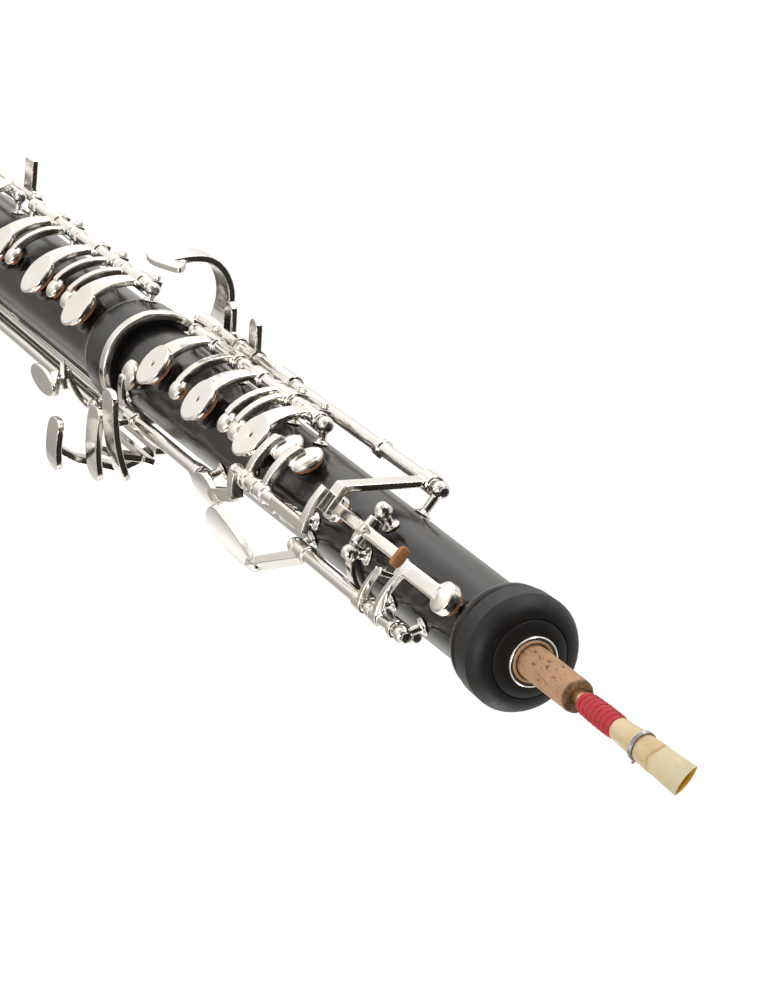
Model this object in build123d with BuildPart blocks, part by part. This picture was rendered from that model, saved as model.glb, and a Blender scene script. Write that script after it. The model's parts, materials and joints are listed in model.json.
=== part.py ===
from build123d import *
from math import cos, radians, sin
import os

# An oboe, upright, in millimetres. The bore is the Z axis, the bell mouth is at z = 0,
# the finger plates face -Y and the player's left hand is on +X.
# Places on the instrument are given as (t, phi, r): t down from the top of the upper
# joint, phi round the bore from the front towards the player's left, r out from the bore.

# Driving dimensions
TOP = 594.0            # height of the upper joint's top face
T_MID = 228.0          # where the upper joint meets the lower joint
T_BELL = 478.0         # where the lower joint meets the bell
BORE_TOP_R = 2.3
BORE_MID_R = 4.7
BORE_LOW_R = 7.4
MOUTH_R = 17.8
CROWN_R = 13.2
WELL_R = 3.75
WELL_DEPTH = 15.0
CORK_R = 3.7
REED_IN = 8.5          # how far the reed is pushed into its well
REED_OUT = 63.5        # how far the reed stands out of its well
TENON_GAP = 0.05
JOINT_GAP = 0.1
ROD_R = 0.9
TUBE_BORE_R = 0.95
TUBE_R = 1.75
BALL_R = 2.1
BALL_GAP = 0.3
PAD_SHOW = 1.0         # pad standing out of its cup
PAD_GAP = 0.3          # a closed pad over its seat
SEAT_RISE = 0.8        # tone hole seat over the wood
OPEN_GAP = 1.8         # a raised finger plate's pad over its seat
PEG_LENGTH = 3.0
ARM = 1.5              # thickness of a key arm

# Hinge rods that run along the bore: angle and distance from the bore
ROD_OCTAVE = (55, 15.5)
ROD_TRILL = (29, 16.0)
ROD_STACK = (-62, 16.0)
ROD_SIDE = (-88, 17.8)
ROD_G_SHARP = (60, 16.5)
ROD_THUMB = (130, 15.5)
ROD_LOWER_STACK = (-62, 18.6)
ROD_LOW_C = (-58, 18.6)
ROD_C_SHARP = (-86, 18.6)
ROD_E_FLAT = (22, 18.0)
ROD_LOW_B = (40, 19.0)
ROD_LEVER_B_FLAT = (88, 18.8)
ROD_LEVER_E_FLAT = (108, 18.8)
ROD_LEVER_B = (128, 18.8)
ROD_BELL = (40, 21.5)

# The first octave key rocks on a short rod across the bore, between two posts
PIVOT_T = 62.0
PIVOT_PHI = 23.35
PIVOT_R = 15.14
PIVOT_Y = PIVOT_R * cos(radians(PIVOT_PHI))


def radius_at(t):
    """Outer radius of the wood, away from its rings."""
    if t < T_MID:
        return 10.3 + 1.9 * (t - 16) / (T_MID - 16)
    if t < 251:
        return 15.3
    if t < T_BELL:
        return 12.9 + 1.1 * (t - 251) / (T_BELL - 251)
    if t < 510:
        return 17.2 - 2.5 * max(0, t - 490) / 20
    return 14.7 + 0.2 * (t - 510) / 28


def outward(phi):
    """Unit vector from the bore through the given angle."""
    return Vector(sin(radians(phi)), -cos(radians(phi)), 0)


def at(t, phi, r):
    """Point at t, phi, r."""
    return outward(phi) * r + Vector(0, 0, TOP - t)


def radial_plane(t, phi, r):
    """Plane facing outwards, its X along the bore upwards."""
    return Plane(origin=at(t, phi, r), x_dir=(0, 0, 1), z_dir=outward(phi))


def placed(shape, t, phi, r):
    """Move a piece made at the origin, Z outwards, to its place."""
    return shape.moved(radial_plane(t, phi, r).location)


def save(shape, name):
    """Name a finished piece and write it."""
    shape.label = name
    export_step(shape, f"parts/{name}.step")


def turned(outline):
    """Revolve (radius, height) corners about the bore; a tuple of three is an arc's middle."""
    with BuildPart() as piece:
        with BuildSketch(Plane.XZ):
            with BuildLine():
                index = 0
                while index < len(outline) - 1:
                    here = outline[index]
                    after = outline[index + 1]
                    if len(after) == 3:
                        beyond = outline[index + 2]
                        ThreePointArc(here[:2], after[:2], beyond[:2])
                        index += 2
                    else:
                        Line(here[:2], after[:2])
                        index += 1
                Line(outline[-1][:2], outline[0][:2])
            make_face()
        revolve(axis=Axis.Z)
    return piece.part


def ring(r_in, r_out, t_from, t_to, rounding=0.0):
    """Plain or rounded ring round the bore."""
    with BuildPart() as band:
        with BuildSketch(Plane.XY.offset(TOP - t_to)):
            Circle(r_out)
            Circle(r_in, mode=Mode.SUBTRACT)
        extrude(amount=t_to - t_from)
        if rounding:
            outer = band.edges().filter_by(GeomType.CIRCLE).group_by(SortBy.RADIUS)[-1]
            fillet(outer, rounding)
    return band.part


def strap(t, width, r_in, r_out, phi_from, phi_to):
    """Curved key arm lying round the bore, centred on t."""
    with BuildPart() as arm:
        with BuildSketch(Plane.XY.offset(TOP - t - width / 2)):
            with BuildLine():
                inner = CenterArc((0, 0), r_in, phi_from - 90, phi_to - phi_from)
                outer = CenterArc((0, 0), r_out, phi_from - 90, phi_to - phi_from)
                Line(inner @ 0, outer @ 0)
                Line(inner @ 1, outer @ 1)
            make_face()
        extrude(amount=width)
    return arm.part


def leaf(outline, t, phi, r_in, r_out):
    """Piece of a shell round the bore; the outline is (up the bore, to the right) from t, phi."""
    with BuildPart() as piece:
        with BuildSketch(radial_plane(t, phi, 0)):
            with BuildLine():
                if len(outline) > 4:
                    Spline(*outline, periodic=True)
                else:
                    Polyline(*outline, close=True)
            make_face()
        extrude(amount=r_out + 5)
        with BuildSketch(Plane.XY.offset(TOP - t - 40)):
            Circle(r_out)
            Circle(r_in, mode=Mode.SUBTRACT)
        extrude(amount=80, mode=Mode.INTERSECT)
    return piece.part


def slanted(t_from, phi_from, t_to, phi_to, width_from, width_to, r_in, r_out):
    """Tapered arm that wraps round the bore from one (t, phi) to another."""
    t = (t_from + t_to) / 2
    phi = (phi_from + phi_to) / 2
    across = (r_in + r_out) / 2 * sin(radians(phi - phi_from))
    rise = (t_from - t_to) / 2
    length = (across ** 2 + rise ** 2) ** 0.5
    side_x = abs(across) / length
    side_y = rise / length
    if across > 0:
        side_y = -side_y
    ends = [(-rise, across, width_from / 2), (rise, -across, width_to / 2)]
    (ax, ay, half_a), (bx, by, half_b) = ends
    outline = [
        (ax + side_x * half_a, ay + side_y * half_a), (bx + side_x * half_b, by + side_y * half_b),
        (bx - side_x * half_b, by - side_y * half_b), (ax - side_x * half_a, ay - side_y * half_a),
    ]
    return leaf(outline, t, phi, r_in, r_out)


def link(start, end, width, thick, across):
    """Flat link with round ends between two points; across tells which way it is wide."""
    run = end - start
    with BuildPart() as piece:
        with BuildSketch(Plane(origin=(start + end) / 2, x_dir=run, z_dir=run.cross(across))):
            SlotCenterToCenter(run.length, width)
        extrude(amount=thick / 2, both=True)
    return piece.part


def finger(points, t_from, t_to, thick=1.8):
    """Blade for a little finger: a smooth strip through plan points."""
    with BuildPart() as blade:
        with BuildSketch(Plane.XY.offset(TOP - t_to)):
            with BuildLine() as path:
                Spline(*points)
            trace(path.line, thick)
        extrude(amount=t_to - t_from)
        corners = blade.edges().filter_by(lambda edge: abs(edge.length - thick) < 0.01)
        fillet(corners, (t_to - t_from) * 0.38)
    return blade.part


def collar(rod, t_from, t_to, radius):
    """Thick ring on a hinge tube."""
    phi, r = rod
    with BuildPart() as band:
        with BuildSketch(Plane(origin=at(t_to, phi, r))):
            Circle(radius)
        extrude(amount=t_to - t_from)
        fillet(band.edges().filter_by(GeomType.CIRCLE), 0.4)
    return band.part


def bar(t_from, t_to, phi, r_from, r_to, width, thick=ARM):
    """Straight key arm along the bore whose height may change from end to end."""
    half = thick / 2
    length = t_to - t_from
    with BuildPart() as arm:
        with BuildSketch(Plane(origin=at(t_from, phi, 0), x_dir=(0, 0, -1),
                               z_dir=outward(phi).cross(Vector(0, 0, 1)))) as side:
            with BuildLine():
                Polyline((0, r_from - half), (length, r_to - half), (length, r_to + half),
                         (0, r_from + half), close=True)
            make_face()
        extrude(amount=width / 2, both=True)
        upper = arm.faces().sort_by_distance(at((t_from + t_to) / 2, phi, 60))[0]
        chamfer(upper.edges(), min(0.4, thick * 0.3, width * 0.2))
    return arm.part


def spar(points, t_from, t_to, thick=1.6):
    """Flat arm across the bore, drawn as a bent strip through plan points."""
    with BuildPart() as arm:
        with BuildSketch(Plane.XY.offset(TOP - t_to)):
            with BuildLine() as path:
                Polyline(*points)
            trace(path.line, thick)
        extrude(amount=t_to - t_from)
    return arm.part


def tube(rod, t_from, t_to):
    """Hinge tube, solid until its key is bored for the rod."""
    phi, r = rod
    with BuildPart() as barrel:
        with BuildSketch(Plane(origin=at(t_to, phi, r))):
            Circle(TUBE_R)
        extrude(amount=t_to - t_from)
    return barrel.part


def save_pads(name, pads):
    """Write a key's pads as one node."""
    with BuildPart() as corks:
        for cork in pads:
            add(cork)
    save(corks.part, name)


def key(name, rod, t_from, t_to, pieces, pads=()):
    """Join a key's pieces to its hinge tube, seat its pads and bore it for its rod."""
    phi, r = rod
    with BuildPart() as lever:
        add(tube(rod, t_from, t_to))
        for piece in pieces:
            add(piece)
        for cork in pads:
            add(cork, mode=Mode.SUBTRACT)
        with BuildSketch(Plane(origin=at(t_to + 60, phi, r))):
            Circle(TUBE_BORE_R)
        extrude(amount=t_to - t_from + 120, mode=Mode.SUBTRACT)
    save(lever.part, name)
    if pads:
        save_pads(f"{name}_pads", pads)


def domed_cup(radius, height=2.2):
    """Pad cup with a domed back, open below for its pad."""
    with BuildPart() as cup:
        with BuildSketch(Plane.XZ):
            with BuildLine():
                Polyline((radius - 0.6, 0), (radius, 0), (radius, 0.9))
                ThreePointArc((radius, 0.9), (radius * 0.66, height * 0.86), (0, height))
                Polyline((0, height), (0, 0.9), (radius - 0.6, 0.9), (radius - 0.6, 0))
            make_face()
        revolve(axis=Axis.Z)
    return cup.part


def coned_cup(radius, height=3.2):
    """Thimble-shaped octave cup with a shallow conical back."""
    with BuildPart() as cup:
        with BuildSketch(Plane.XZ):
            with BuildLine():
                Polyline((radius - 0.6, 0), (radius, 0), (radius, 2.2), (radius - 0.4, 2.5),
                         (0, height), (0, 0.9), (radius - 0.6, 0.9), close=True)
            make_face()
        revolve(axis=Axis.Z)
    return cup.part


def finger_plate(radius, hole_r):
    """Flat plate that a finger covers, with its pad cup below and a vent through it."""
    wall = radius - 0.9
    with BuildPart() as plate:
        with BuildSketch(Plane.XZ):
            with BuildLine():
                Polyline((wall - 0.6, 0), (wall, 0), (wall, 1.0), (radius - 0.3, 1.2))
                ThreePointArc((radius - 0.3, 1.2), (radius, 1.7), (radius - 0.5, 2.15))
                Polyline((radius - 0.5, 2.15), (0, 1.95), (0, 0.9), (wall - 0.6, 0.9),
                         (wall - 0.6, 0))
            make_face()
        revolve(axis=Axis.Z)
        if hole_r:
            Cylinder(hole_r, 8, mode=Mode.SUBTRACT)
    return plate.part


def pad(radius, hole_r=0.0):
    """Cork pad: its upper part sits in the cup, its lower part shows."""
    with BuildPart() as cork:
        with BuildSketch(Plane.XY.offset(-PAD_SHOW)):
            Circle(radius - 0.65)
            if hole_r:
                Circle(hole_r, mode=Mode.SUBTRACT)
        extrude(amount=PAD_SHOW + 0.9)
    return cork.part


def touch(length, width, thick=1.4):
    """Leaf for a finger, long in local X."""
    with BuildPart() as leaf:
        with BuildSketch():
            Ellipse(length / 2, width / 2)
        extrude(amount=thick)
        fillet(leaf.edges().filter_by(GeomType.ELLIPSE), thick * 0.4)
    return leaf.part


def rim_r(t, gap):
    """Distance of a cup's rim from the bore when its pad stands gap over the seat."""
    return radius_at(t) + SEAT_RISE + gap + PAD_SHOW


def post(rod_r, t, phi):
    """Turned post: peg in the wood, flared foot, stem and ball, drilled for its rod."""
    base = radius_at(t)
    tall = rod_r - base
    with BuildPart() as pillar:
        with BuildSketch(Plane.XZ):
            with BuildLine():
                Polyline((0, -PEG_LENGTH), (0.9, -PEG_LENGTH), (0.9, 0), (2.2, 0), (2.2, 0.4))
                ThreePointArc((2.2, 0.4), (1.35, 0.8), (1.1, min(1.9, tall * 0.5)))
                Line((1.1, min(1.9, tall * 0.5)), (1.1, tall))
                Polyline((1.1, tall), (0, tall), (0, -PEG_LENGTH))
            make_face()
        revolve(axis=Axis.Z)
        with Locations((0, 0, tall)):
            Sphere(BALL_R)
    return placed(pillar.part, t, phi, base)


def drilled_posts(places):
    """Group of posts on rods that run along the bore, each (t, rod)."""
    pillars = [post(rod[1], t, rod[0]) for t, rod in places]
    with BuildPart() as group:
        for pillar in pillars:
            add(pillar)
        for t, rod in places:
            phi, r = rod
            with BuildSketch(Plane(origin=at(t + 4, phi, r))):
                Circle(ROD_R)
            extrude(amount=8, mode=Mode.SUBTRACT)
    return group.part


def rods(spans):
    """Steel hinge rods, each (rod, t_from, t_to)."""
    with BuildPart() as steel:
        for rod, t_from, t_to in spans:
            phi, r = rod
            with BuildSketch(Plane(origin=at(t_to, phi, r))):
                Circle(ROD_R)
            extrude(amount=t_to - t_from)
    return steel.part


# Tone holes: (t, phi, hole radius, seat radius)
UPPER_HOLES = [
    (106.3, -20, 1.6, 3.9), (117.2, -18, 1.6, 3.9), (129, 0, 1.3, 4.8),
    (138.5, 0, 1.1, 2.6), (145.5, 0, 1.1, 2.6), (163, 0, 2.2, 4.8),
    (178, 4, 1.1, 2.6), (196, 0, 2.4, 4.8), (211.5, 24, 2.2, 3.8),
]
LOWER_HOLES = [
    (256.5, 0, 3.0, 5.2), (267, 0, 1.4, 2.6), (279.6, 0, 1.4, 2.6), (294, 0, 3.3, 5.2),
    (319.6, 0, 1.4, 2.6), (332, 0, 3.5, 5.2),
    (375, 58, 3.4, 4.6), (400, 0, 4.2, 5.4), (424, -3, 4.4, 5.6), (450, 0, 4.8, 6.2),
]
BELL_HOLE = (523, 0, 4.8, 6.2)
VENTS = [(20, 4), (79, 0)]
VENT_R = 1.6


def bored_wood(outline, holes):
    """Turned joint with raised seats and open tone holes."""
    blank = turned(outline)
    with BuildPart() as wood:
        add(blank)
        for t, phi, hole_r, seat_r in holes:
            seat = radius_at(t) + SEAT_RISE
            with BuildSketch(radial_plane(t, phi, seat - 2.2)):
                Circle(seat_r)
            extrude(amount=2.2)
        for t, phi, hole_r, seat_r in holes:
            with BuildSketch(radial_plane(t, phi, 0)):
                Circle(hole_r)
            extrude(amount=30, mode=Mode.SUBTRACT)
    return wood.part


def upper_joint():
    """Upper joint: crown, body and tenon, with the reed well's seat and the bore."""
    outline = [
        (5.0, TOP - 0.3), (7.0, TOP - 0.5, 0), (8.5, TOP - 1.1), (8.7, TOP - 1.5),
        (8.9, TOP - 1.3), (11.6, TOP - 2.5, 0), (CROWN_R - 0.2, TOP - 4.6),
        (CROWN_R, TOP - 5.0), (CROWN_R - 0.1, TOP - 10.2), (12.3, TOP - 10.8),
        (12.1, TOP - 11.4), (12.7, TOP - 12.9, 0), (12.1, TOP - 14.4), (10.5, TOP - 15.0),
        (10.3, TOP - 16.6),
        (12.2, TOP - T_MID + 0.5), (11.8, TOP - T_MID + JOINT_GAP),
        (7.4, TOP - T_MID + JOINT_GAP), (7.4, TOP - T_MID - 17.5),
        (BORE_MID_R, TOP - T_MID - 17.5), (BORE_TOP_R, TOP - 24), (BORE_TOP_R, TOP - 17),
        (5.0, TOP - 17),
    ]
    wood = bored_wood(outline, UPPER_HOLES)
    with BuildPart() as joint:
        add(wood)
        for t, phi in VENTS:
            with BuildSketch(radial_plane(t, phi, 0)):
                Circle(VENT_R)
            extrude(amount=30, mode=Mode.SUBTRACT)
    save(joint.part, "upper_joint_body")


def lower_joint():
    """Lower joint: socket, body and tenon."""
    top = TOP - T_MID
    low = TOP - T_BELL
    outline = [
        (13.9, top), (13.9, top - 4), (15.3, top - 4.2), (15.3, top - 17),
        (14.3, top - 21, 0), (12.9, top - 24), (14.0, low + 0.6), (13.6, low + JOINT_GAP),
        (10.6, low + JOINT_GAP), (10.6, low - 19), (BORE_LOW_R, low - 19),
        (BORE_MID_R + 0.2, top - 18), (8.65, top - 18), (8.65, top),
    ]
    save(bored_wood(outline, LOWER_HOLES), "lower_joint_body")


def bell():
    """Bell: socket, waist and flared mouth."""
    top = TOP - T_BELL
    outline = [
        (15.6, top), (15.6, top - 5), (17.2, top - 5.2), (17.2, top - 12),
        (15.8, top - 20, 0), (14.7, top - 32), (14.9, top - 60), (16.2, top - 86, 0),
        (18.6, 4.5), (18.6, 0), (MOUTH_R, 0), (MOUTH_R, 5), (12.6, 24, 0), (9.6, 52),
        (8.0, top - 20), (11.85, top - 20), (11.85, top),
    ]
    wood = bored_wood(outline, [BELL_HOLE])
    save(wood, "bell_body")
    with BuildPart() as rings:
        add(ring(15.6, 17.6, T_BELL, T_BELL + 5, 0.8))
        add(ring(18.6, 20.4, TOP - 4.5, TOP, 0.8))
    save(rings.part, "bell_rings")


def rings_and_corks():
    """Metal rings, the reed well's liner and the tenon corks."""
    save(turned([(4.9, TOP - 0.25), (5.6, TOP - 0.25), (5.7, TOP + 0.25, 0), (5.1, TOP + 0.75),
                 (4.3, TOP + 0.55, 0), (WELL_R, TOP - 0.4),
                 (WELL_R, TOP - WELL_DEPTH), (2.6, TOP - WELL_DEPTH - 0.5),
                 (2.6, TOP - 17), (4.9, TOP - 17)]), "reed_well_liner")
    save(ring(7.4, 8.6, T_MID + 1.5, T_MID + 15), "upper_tenon_cork")
    save(ring(10.6, 11.8, T_BELL + 1.5, T_BELL + 16.5), "lower_tenon_cork")
    save(ring(13.9, 16.0, T_MID, T_MID + 4, 0.8), "lower_joint_ring")


def octave_vents():
    """Two flared metal bushes let into the upper joint under the octave pads."""
    with BuildPart() as bushes:
        for t, phi in VENTS:
            reach = radius_at(t) + 0.5
            with BuildSketch(radial_plane(t, phi, 3.6)):
                Circle(VENT_R)
            extrude(amount=reach - 3.6)
            with BuildSketch(radial_plane(t, phi, reach - 0.1)):
                Circle(2.3)
            extrude(amount=0.4)
            with BuildSketch(radial_plane(t, phi, 0)):
                Circle(0.5)
            extrude(amount=30, mode=Mode.SUBTRACT)
    save(bushes.part, "octave_vents")


def reed():
    """Reed: brass staple, cork, thread winding, wire and two-bladed cane."""
    def h(height):
        return TOP + height

    foot = -REED_IN
    save(turned([(2.7, h(foot)), (1.8, h(20)), (1.75, h(38)), (1.3, h(38)), (2.2, h(foot))]),
         "reed_staple")

    def staple_r(height):
        if height > 20:
            return 1.8 - 0.05 * (height - 20) / 18
        return 2.7 - 0.9 * (height - foot) / (20 - foot)

    save(turned([(CORK_R, h(foot)), (CORK_R, h(19.6)), (CORK_R - 0.4, h(20)),
                 (staple_r(20), h(20)), (staple_r(foot), h(foot))]), "reed_cork")
    save(turned([(2.15, h(23)), (2.4, h(24)), (2.6, h(31), 0), (2.5, h(37.5)),
                 (staple_r(37.5), h(37.5)), (staple_r(23), h(23))]), "reed_thread")

    sections = [(37.6, 2.45, 2.4), (46, 2.9, 2.3), (54, 3.25, 1.6), (REED_OUT, 3.55, 0.85)]
    with BuildPart() as cane:
        for height, half_wide, half_thick in sections:
            with BuildSketch(Plane.XY.offset(h(height))):
                Ellipse(half_wide, half_thick)
        loft()
    with BuildPart() as throat:
        for height, half_wide, half_thick in sections:
            thin = 0.75 if height < 50 else 0.4
            with BuildSketch(Plane.XY.offset(h(height))):
                Ellipse(half_wide - 0.35, half_thick - min(thin, half_thick * 0.6))
        loft()
    with BuildPart() as blades:
        add(cane.part)
        add(throat.part, mode=Mode.SUBTRACT)
    save(blades.part, "reed_cane")

    with BuildPart() as wire:
        for turn in range(3):
            with BuildSketch(Plane.XY.offset(h(45.6 + 0.45 * turn))):
                Ellipse(3.3, 2.75)
                Ellipse(2.98, 2.38, mode=Mode.SUBTRACT)
            extrude(amount=0.4)
    save(wire.part, "reed_wire")


def posts_and_rods():
    """Posts, rods and pivots that carry the keys."""
    upper = [
        (32, ROD_OCTAVE), (48, ROD_OCTAVE), (92, ROD_OCTAVE), (90.3, ROD_TRILL),
        (128, ROD_TRILL), (119.3, ROD_STACK), (136.5, ROD_STACK), (172.6, ROD_STACK),
        (208.3, ROD_STACK), (70, ROD_SIDE), (224.5, ROD_SIDE), (150, ROD_G_SHARP),
        (220, ROD_G_SHARP), (58, ROD_THUMB), (92, ROD_THUMB),
    ]
    along = drilled_posts(upper)
    saddles = [post(PIVOT_R, PIVOT_T, side * PIVOT_PHI) for side in (-1, 1)]
    with BuildPart() as group:
        add(along)
        for saddle in saddles:
            add(saddle)
        with BuildSketch(Plane.YZ.offset(-12)):
            with Locations((-PIVOT_Y, TOP - PIVOT_T)):
                Circle(ROD_R)
        extrude(amount=24, mode=Mode.SUBTRACT)
    save(group.part, "upper_posts")

    spans = [
        (ROD_OCTAVE, 30.4, 93.6), (ROD_TRILL, 88.7, 129.6), (ROD_STACK, 117.7, 209.9),
        (ROD_SIDE, 68.4, 226.1), (ROD_G_SHARP, 148.4, 221.6), (ROD_THUMB, 56.4, 93.6),
    ]
    steel = rods(spans)
    with BuildPart() as group:
        add(steel)
        with BuildSketch(Plane.YZ.offset(-7.6)):
            with Locations((-PIVOT_Y, TOP - PIVOT_T)):
                Circle(ROD_R)
        extrude(amount=15.2)
    save(group.part, "upper_rods")

    lower = [
        (244, ROD_LOWER_STACK), (272.5, ROD_LOWER_STACK), (312.5, ROD_LOWER_STACK),
        (352.5, ROD_LOWER_STACK), (364, ROD_LOW_C), (409.5, ROD_LOW_C), (373, ROD_C_SHARP),
        (434, ROD_C_SHARP), (364, ROD_E_FLAT), (392, ROD_E_FLAT), (386, ROD_LOW_B),
        (462, ROD_LOW_B), (243, ROD_LEVER_B_FLAT), (474, ROD_LEVER_B_FLAT),
        (243, ROD_LEVER_E_FLAT), (368, ROD_LEVER_E_FLAT), (243, ROD_LEVER_B),
        (396, ROD_LEVER_B),
    ]
    save(drilled_posts(lower), "lower_posts")
    save(rods([
        (ROD_LOWER_STACK, 242.4, 354.1), (ROD_LOW_C, 362.4, 411.1),
        (ROD_C_SHARP, 371.4, 435.6), (ROD_E_FLAT, 362.4, 393.6), (ROD_LOW_B, 384.4, 463.6),
        (ROD_LEVER_B_FLAT, 241.4, 475.6), (ROD_LEVER_E_FLAT, 241.4, 369.6),
        (ROD_LEVER_B, 241.4, 397.6),
    ]), "lower_rods")
    save(drilled_posts([(512, ROD_BELL), (540, ROD_BELL)]), "bell_posts")
    save(rods([(ROD_BELL, 510.4, 541.6)]), "bell_rod")


def cup_and_pad(kind, t, phi, radius, gap, hole_r=0.0):
    """A key's cup and the pad in it."""
    rim = rim_r(t, gap)
    if kind == "domed":
        cup = domed_cup(radius)
    elif kind == "coned":
        cup = coned_cup(radius)
    else:
        cup = finger_plate(radius, hole_r)
    seat = radius - 0.9 if kind == "plate" else radius
    return placed(cup, t, phi, rim), placed(pad(seat, hole_r), t, phi, rim)


def octave_keys():
    """Both octave keys, the side lever and the thumb lever."""
    cup, cork = cup_and_pad("coned", 20, 4, 3.65, PAD_GAP)
    crown = rim_r(20, PAD_GAP) + 2.6
    key("second_octave_key", ROD_OCTAVE, 34.4, 45.6, [
        cup, slanted(43.2, 55, 34.2, 3, 3.2, 3.2, 15.6, 17.6), bar(21, 36.4, 4, crown, 16.6, 3.6),
        collar(ROD_OCTAVE, 34.4, 36.4, 2.3), collar(ROD_OCTAVE, 41.6, 45.6, 2.4)], [cork])

    spoon = leaf([(15, 0), (10, 4.2), (1, 7.2), (-8, 7.6), (-15, 0), (-8, -7.6), (1, -7.2),
                  (10, -4.2)], 115, 66, 23.2, 24.8)
    key("side_octave_lever", ROD_OCTAVE, 50.4, 89.6, [
        slanted(52.6, 55, 45.0, 16, 3.2, 3.0, 15.2, 17.2), strap(44.6, 3.0, 11.4, 17.0, 15.5, 20.5),
        strap(44.2, 2.4, 11.4, 12.6, 18, -4), collar(ROD_OCTAVE, 50.4, 55, 2.4),
        collar(ROD_OCTAVE, 84, 89.6, 2.3), spoon,
        link(at(86, 57, 15.6), at(103, 69, 23.8), 4.4, 2.2, Vector(0.25, -0.97, 0))])

    cup, cork = cup_and_pad("coned", 79, 0, 3.3, PAD_GAP)
    crown = rim_r(79, PAD_GAP) + 2.6
    tail = bar(40.5, 62, 0, 16.1, 16.3, 2.8)
    beam = bar(62, 79, 0, 16.3, crown, 2.8)
    with BuildPart() as seesaw:
        with BuildSketch(Plane.YZ.offset(-3.6)):
            with Locations((-PIVOT_Y, TOP - PIVOT_T)):
                Circle(TUBE_R)
        extrude(amount=7.2)
        add(cup)
        add(tail)
        add(beam)
        add(cork, mode=Mode.SUBTRACT)
        with BuildSketch(Plane.YZ.offset(-12)):
            with Locations((-PIVOT_Y, TOP - PIVOT_T)):
                Circle(TUBE_BORE_R)
        extrude(amount=24, mode=Mode.SUBTRACT)
    save(seesaw.part, "first_octave_key")
    save_pads("first_octave_key_pads", [cork])

    key("thumb_octave_lever", ROD_THUMB, 60.4, 89.6, [
        strap(67.5, 3.2, 11.3, 12.5, 126, -4), bar(65.9, 69.1, 130, 12.9, 12.9, 3.0, 3.2),
        strap(67.5, 3.2, 12.2, 14.7, -4, 5),
        strap(82, 5, 15.6, 17.2, 130, 172), placed(touch(20, 13), 82, 176, 16.4)])


def trill_keys():
    """Two trill keys with domed cups and the long right-hand lever that works one."""
    cup, cork = cup_and_pad("domed", 106.3, -20, 4.3, PAD_GAP)
    key("upper_trill_key", ROD_TRILL, 92.8, 113.0, [
        cup, slanted(110.6, 29, 108.2, -22, 2.6, 3.6, 14.9, 17.0), bar(76, 96, 23, 20.5, 20.5, 3.0),
        collar(ROD_TRILL, 92.8, 96.4, 2.3), collar(ROD_TRILL, 108.6, 113, 2.3),
        strap(94.5, 3.0, 16.6, 21.2, 20, 29), strap(77.5, 3.0, 19.9, 21.2, -6, 25)], [cork])

    cup, cork = cup_and_pad("domed", 117.2, -18, 4.3, PAD_GAP)
    key("lower_trill_key", ROD_TRILL, 113.5, 125.6, [
        cup, slanted(121.4, 29, 119.2, -20, 2.6, 3.6, 14.9, 17.0),
        collar(ROD_TRILL, 113.5, 116.5, 2.3), collar(ROD_TRILL, 119.4, 125.6, 2.3),
        strap(123.6, 3.4, 16.4, 19.6, 26, 46),
        link(at(123.6, 44, 18.6), at(133, 51, 20.2), 3.4, 1.8, outward(-42)),
        leaf([(9, 0), (5, 2.6), (-4, 3.4), (-9, 0), (-4, -3.4), (5, -2.6)], 138, 52, 19.4, 21.0)],
        [cork])

    hook = [(-17.8, -0.6), (-24, -2.2), (-30, -7.5), (-31.6, -15), (-28.5, -20.5), (-23.5, -24.5)]
    blade = leaf([(13, 0), (7, 3.2), (-5, 3.6), (-12.5, 0), (-5, -3.6), (7, -3.2)], 217, -46, 33.2, 34.8)
    tabs = [link(at(t, -88, 17.8), at(t, -77, 24.6), 5.4, 1.8, Vector(0, 0, 1)) for t in (185, 203)]
    key("right_trill_lever", ROD_SIDE, 72.4, 222.1, [
        spar([(-18.4, -0.7), (-4.6, -18.5), (2.6, -18.2)], 73.0, 77.6), finger(hook, 210, 220),
        blade, tabs[0], tabs[1], collar(ROD_SIDE, 72.4, 78.5, 2.5), collar(ROD_SIDE, 101, 104, 2.4),
        collar(ROD_SIDE, 157, 168, 2.7), collar(ROD_SIDE, 182, 188, 2.6),
        collar(ROD_SIDE, 195, 206, 2.7), collar(ROD_SIDE, 209, 222.1, 2.4)])


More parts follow.
